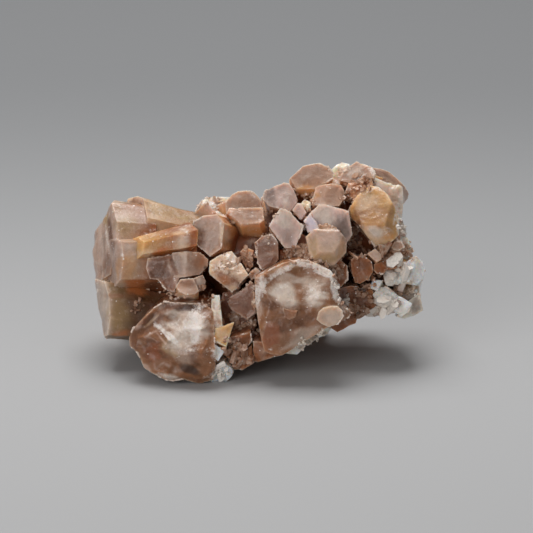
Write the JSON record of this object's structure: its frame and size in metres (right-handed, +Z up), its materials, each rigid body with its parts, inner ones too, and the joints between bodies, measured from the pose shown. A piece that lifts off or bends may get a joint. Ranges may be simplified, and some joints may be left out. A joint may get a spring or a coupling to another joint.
{
  "type": "radial aragonite specimen",
  "caption": "Intergrown cluster of blunt six-sided aragonite crystals radiating from one middle, resting on its lowest crystals.",
  "frame": {"origin": "middle of the bounding box, on the surface that the specimen rests on", "axes": "+X along the longest side, to the viewer's right; +Z up; the pictured side faces -Y"},
  "size_m": [0.0752, 0.047, 0.044],
  "materials": {
    "aragonite": "satin, translucent, honey brown to mauve with frosty white edges"
  },
  "bodies": {
    "root": {"aragonite_cluster": "aragonite"}
  },
  "joints": []
}
